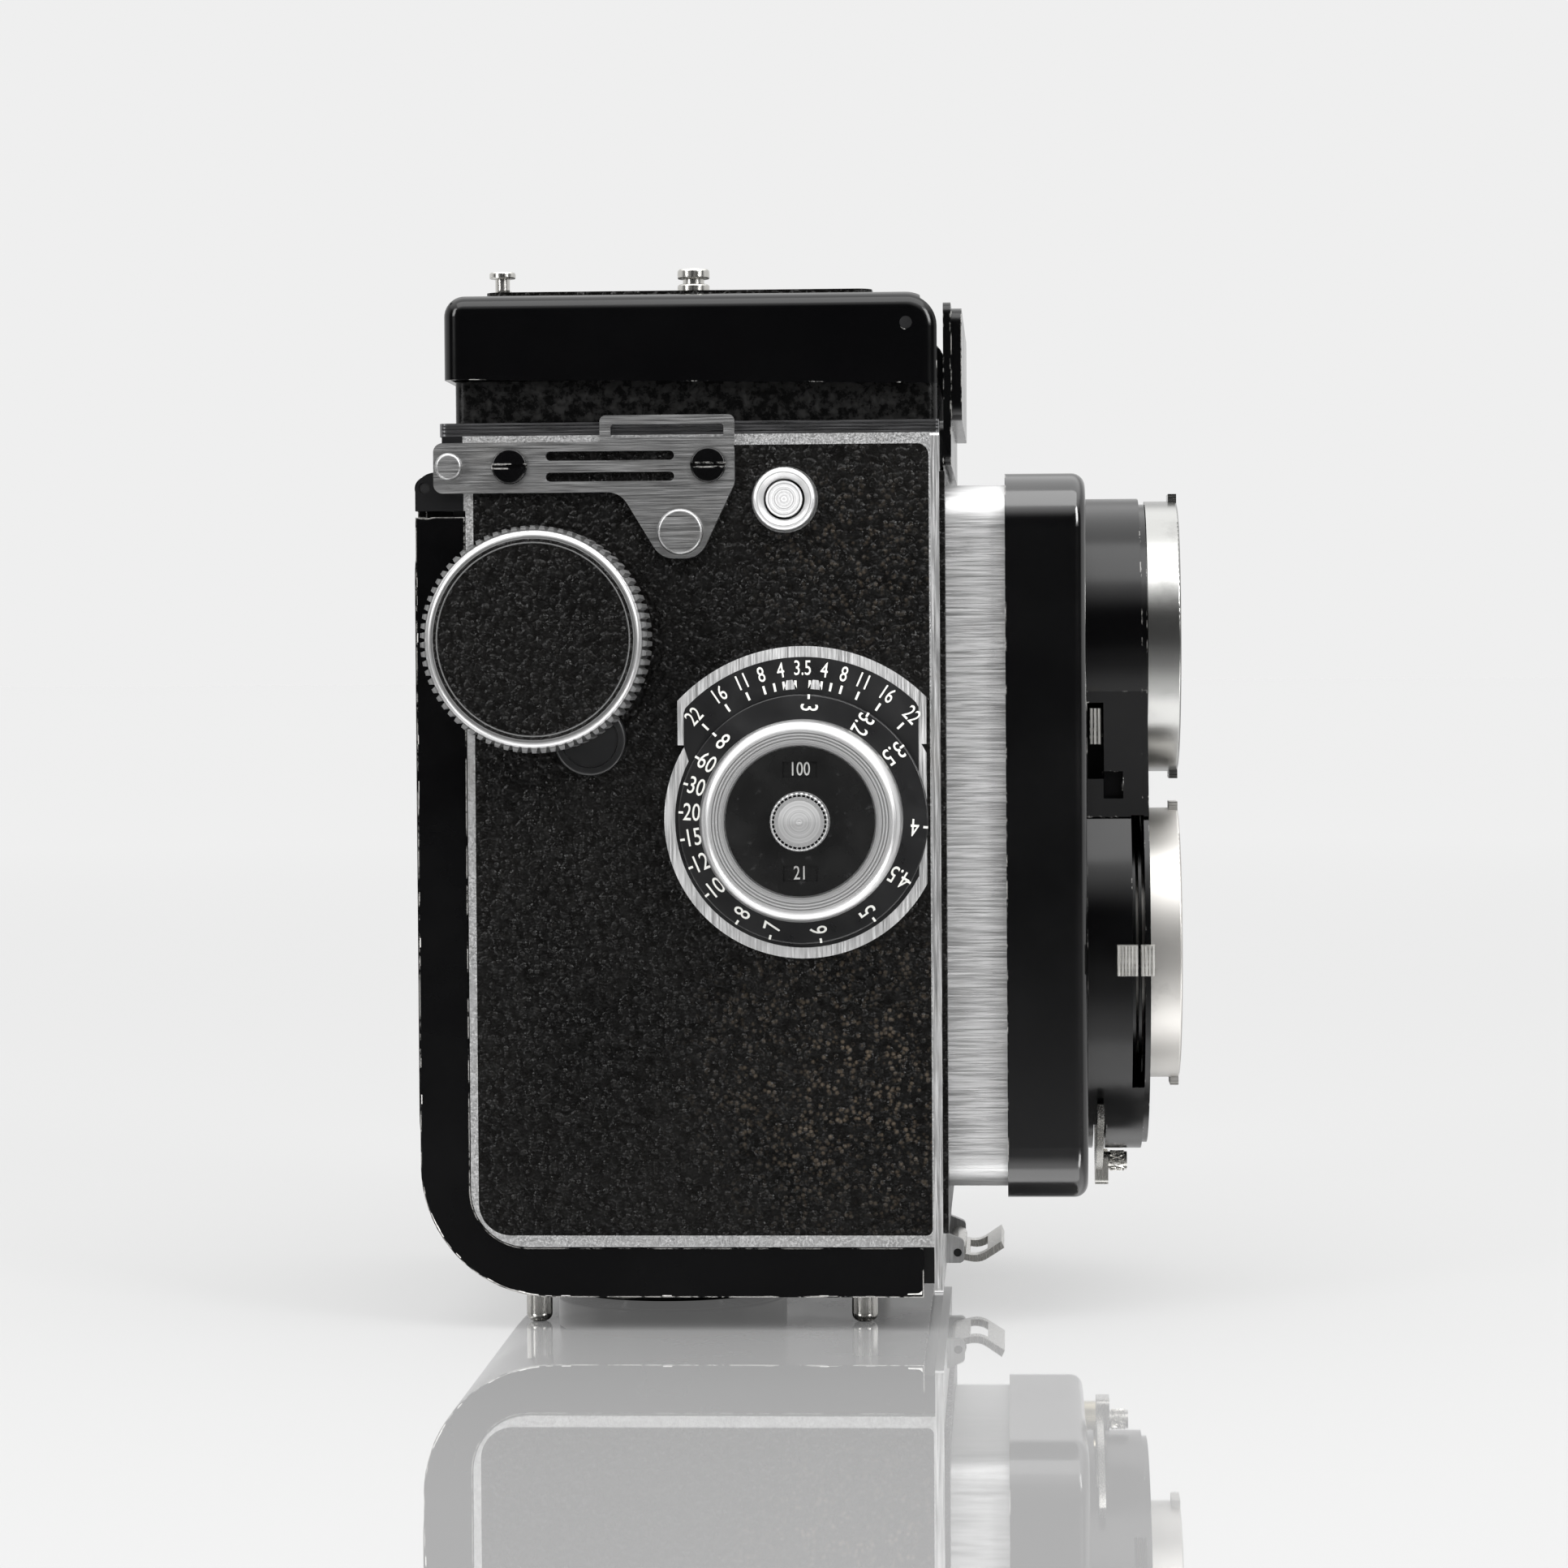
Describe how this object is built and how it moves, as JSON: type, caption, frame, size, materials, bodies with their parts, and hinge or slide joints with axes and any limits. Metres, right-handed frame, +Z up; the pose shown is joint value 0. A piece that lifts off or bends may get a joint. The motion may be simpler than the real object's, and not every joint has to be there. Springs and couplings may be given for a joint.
{
  "type": "twin lens reflex camera",
  "caption": "Box-shaped roll-film camera with a viewing lens above a taking lens on a sliding board, a folding waist-level hood, winding and focusing knobs and a hinged back.",
  "frame": {"origin": "on the tripod-socket axis, at the plane the feet stand on", "axes": "+X forward, the way the lenses look; +Y the viewer's left; +Z up"},
  "size_m": [0.1003, 0.0943, 0.1408],
  "materials": {
    "casting": "bright edged casting",
    "black_paint": "gloss black enamel",
    "crinkle": "mottled black",
    "leather": "pebbled black leather",
    "bright": "brushed",
    "nickel": "turned and knurled",
    "dark_trim": "grooved, dark",
    "dial": "satin black with white marks",
    "glass": "coated",
    "screen": "ground",
    "mirror": "front silvered",
    "plastic": "satin",
    "steel_thin": "blued spring steel",
    "brass": "nickelled"
  },
  "bodies": {
    "camera_body": {"body_shell": "casting", "body_leather": "leather", "film_gate": "bright", "front_plate": "black_paint", "front_leather": "leather", "light_box": "bright", "reflex_mirror": "mirror", "focusing_screen": "screen", "top_trim": "dark_trim", "hood_base": "crinkle", "hinge_pins": "nickel", "name_plate": "black_paint", "strap_plates": "nickel", "strap_screws": "black_paint", "button_collar": "nickel", "counter_window": "black_paint", "depth_scale_plate": "bright"},
    "film_roller_low": {"film_roller_low": "nickel"},
    "film_roller_high": {"film_roller_high": "nickel"},
    "back_door": {"door_shell": "black_paint", "door_leather": "leather", "tripod_plate": "nickel", "feet": "nickel"},
    "pressure_plate": {"pressure_plate": "bright"},
    "latch": {"latch_lever": "nickel"},
    "lens_board": {"lens_board_shell": "black_paint", "shutter_housing": "black_paint", "viewing_barrel": "nickel", "taking_barrel": "nickel", "viewing_lens": "glass", "taking_lens": "glass", "lens_retainers": "black_paint", "shutter_case": "brass", "shutter_blades": "steel_thin", "aperture_blades": "steel_thin", "flash_socket": "brass"},
    "shutter_speed_lever": {"shutter_speed_lever": "nickel"},
    "aperture_lever": {"aperture_lever": "nickel"},
    "release_lever": {"release_lever": "nickel"},
    "sync_lever": {"sync_lever": "nickel"},
    "focus_knob": {"focus_knob": "bright", "distance_ring": "dial"},
    "film_speed_disc": {"film_speed_disc": "dial"},
    "winding_knob": {"winding_knob": "bright", "winding_knob_leather": "leather"},
    "take_up_spool": {"take_up_spool": "plastic"},
    "supply_spool": {"supply_spool": "plastic"},
    "spool_knob_upper": {"spool_knob_upper": "nickel"},
    "spool_knob_lower": {"spool_knob_lower": "nickel"},
    "side_button": {"side_button": "plastic"},
    "hood_lid": {"hood_lid": "black_paint", "lid_leather": "leather", "finder_flap": "black_paint", "lid_catch": "nickel", "top_stud": "nickel"},
    "hood_flap_right": {"hood_flap_right": "black_paint"},
    "hood_flap_left": {"hood_flap_left": "black_paint"},
    "hood_flap_rear": {"hood_flap_rear": "black_paint"},
    "magnifier": {"magnifier_frame": "black_paint", "magnifier_lens": "glass"}
  },
  "joints": [
    {"name": "lens_board_slide", "type": "slide", "parent": "camera_body", "child": "lens_board", "axis": [1, 0, 0], "range_m": [-0.0067, 0]},
    {"name": "focus_knob_turn", "type": "hinge", "parent": "camera_body", "child": "focus_knob", "pos_m": [0.0204, -0.042, 0.0665], "axis": [0, -1, 0], "range_deg": [0, 316]},
    {"name": "film_speed_turn", "type": "hinge", "parent": "focus_knob", "child": "film_speed_disc", "pos_m": [0.0204, -0.048, 0.0665], "axis": [0, -1, 0], "continuous": true},
    {"name": "winding_knob_turn", "type": "hinge", "parent": "camera_body", "child": "winding_knob", "pos_m": [-0.0133, -0.042, 0.0898], "axis": [0, -1, 0], "continuous": true},
    {"name": "take_up_spool_turn", "type": "hinge", "parent": "camera_body", "child": "take_up_spool", "pos_m": [-0.0133, 0, 0.0898], "axis": [0, -1, 0], "continuous": true},
    {"name": "supply_spool_turn", "type": "hinge", "parent": "camera_body", "child": "supply_spool", "pos_m": [0.0204, 0, 0.0189], "axis": [0, -1, 0], "continuous": true},
    {"name": "film_roller_low_turn", "type": "hinge", "parent": "camera_body", "child": "film_roller_low", "pos_m": [-0.0242, 0, 0.0166], "axis": [0, 1, 0], "continuous": true},
    {"name": "film_roller_high_turn", "type": "hinge", "parent": "camera_body", "child": "film_roller_high", "pos_m": [-0.0242, 0, 0.0785], "axis": [0, 1, 0], "continuous": true},
    {"name": "spool_knob_upper_pull", "type": "slide", "parent": "camera_body", "child": "spool_knob_upper", "axis": [0, 1, 0], "range_m": [0, 0.006], "stiffness_N_per_m": 150, "springref_m": -0.004},
    {"name": "spool_knob_lower_pull", "type": "slide", "parent": "camera_body", "child": "spool_knob_lower", "axis": [0, 1, 0], "range_m": [0, 0.006], "stiffness_N_per_m": 150, "springref_m": -0.004},
    {"name": "side_button_press", "type": "slide", "parent": "camera_body", "child": "side_button", "axis": [0, 1, 0], "range_m": [0, 0.0012], "stiffness_N_per_m": 400, "springref_m": -0.0006},
    {"name": "back_door_hinge", "type": "hinge", "parent": "camera_body", "child": "back_door", "pos_m": [-0.0286, 0, 0.1096], "axis": [0, 1, 0], "range_deg": [0, 105]},
    {"name": "pressure_plate_press", "type": "slide", "parent": "back_door", "child": "pressure_plate", "axis": [1, 0, 0], "range_m": [-0.0004, 0], "stiffness_N_per_m": 800, "springref_m": 0.001},
    {"name": "latch_lift", "type": "hinge", "parent": "camera_body", "child": "latch", "pos_m": [0.0396, 0, 0.0066], "axis": [0, 1, 0], "range_deg": [0, 30], "stiffness_Nm_per_rad": 0.01, "springref_deg": -17.19},
    {"name": "shutter_speed_set", "type": "hinge", "parent": "lens_board", "child": "shutter_speed_lever", "pos_m": [0.0634, 0, 0.048], "axis": [1, 0, 0], "range_deg": [-35, 35]},
    {"name": "aperture_set", "type": "hinge", "parent": "lens_board", "child": "aperture_lever", "pos_m": [0.0642, 0, 0.048], "axis": [1, 0, 0], "range_deg": [-35, 35]},
    {"name": "release_swing", "type": "hinge", "parent": "lens_board", "child": "release_lever", "pos_m": [0.0588, 0, 0.048], "axis": [1, 0, 0], "range_deg": [-20, 20], "stiffness_Nm_per_rad": 0.05},
    {"name": "sync_set", "type": "slide", "parent": "lens_board", "child": "sync_lever", "axis": [0, 0, 1], "range_m": [-0.004, 0]},
    {"name": "hood_lid_hinge", "type": "hinge", "parent": "camera_body", "child": "hood_lid", "pos_m": [0.0339, 0, 0.1304], "axis": [0, 1, 0], "range_deg": [0, 90]},
    {"name": "hood_flap_right_hinge", "type": "hinge", "parent": "camera_body", "child": "hood_flap_right", "pos_m": [0, -0.0346, 0.1229], "axis": [1, 0, 0], "range_deg": [0, 90]},
    {"name": "hood_flap_left_hinge", "type": "hinge", "parent": "camera_body", "child": "hood_flap_left", "pos_m": [0, 0.0346, 0.1229], "axis": [1, 0, 0], "range_deg": [-90, 0]},
    {"name": "hood_flap_rear_hinge", "type": "hinge", "parent": "camera_body", "child": "hood_flap_rear", "pos_m": [-0.0232, 0, 0.1244], "axis": [0, 1, 0], "range_deg": [-90, 0]},
    {"name": "magnifier_hinge", "type": "hinge", "parent": "hood_lid", "child": "magnifier", "pos_m": [0.0064, 0, 0.1316], "axis": [0, 1, 0], "range_deg": [-90, 0]}
  ],
  "couplings": [
    {"joint": "focus_knob_turn", "follows": "lens_board_slide", "rad_per_m": -820.57},
    {"joint": "take_up_spool_turn", "follows": "winding_knob_turn", "ratio": 1},
    {"joint": "hood_flap_right_hinge", "follows": "hood_lid_hinge", "ratio": 1},
    {"joint": "hood_flap_left_hinge", "follows": "hood_lid_hinge", "ratio": -1},
    {"joint": "hood_flap_rear_hinge", "follows": "hood_lid_hinge", "ratio": -1},
    {"joint": "magnifier_hinge", "follows": "hood_lid_hinge", "ratio": -1}
  ]
}
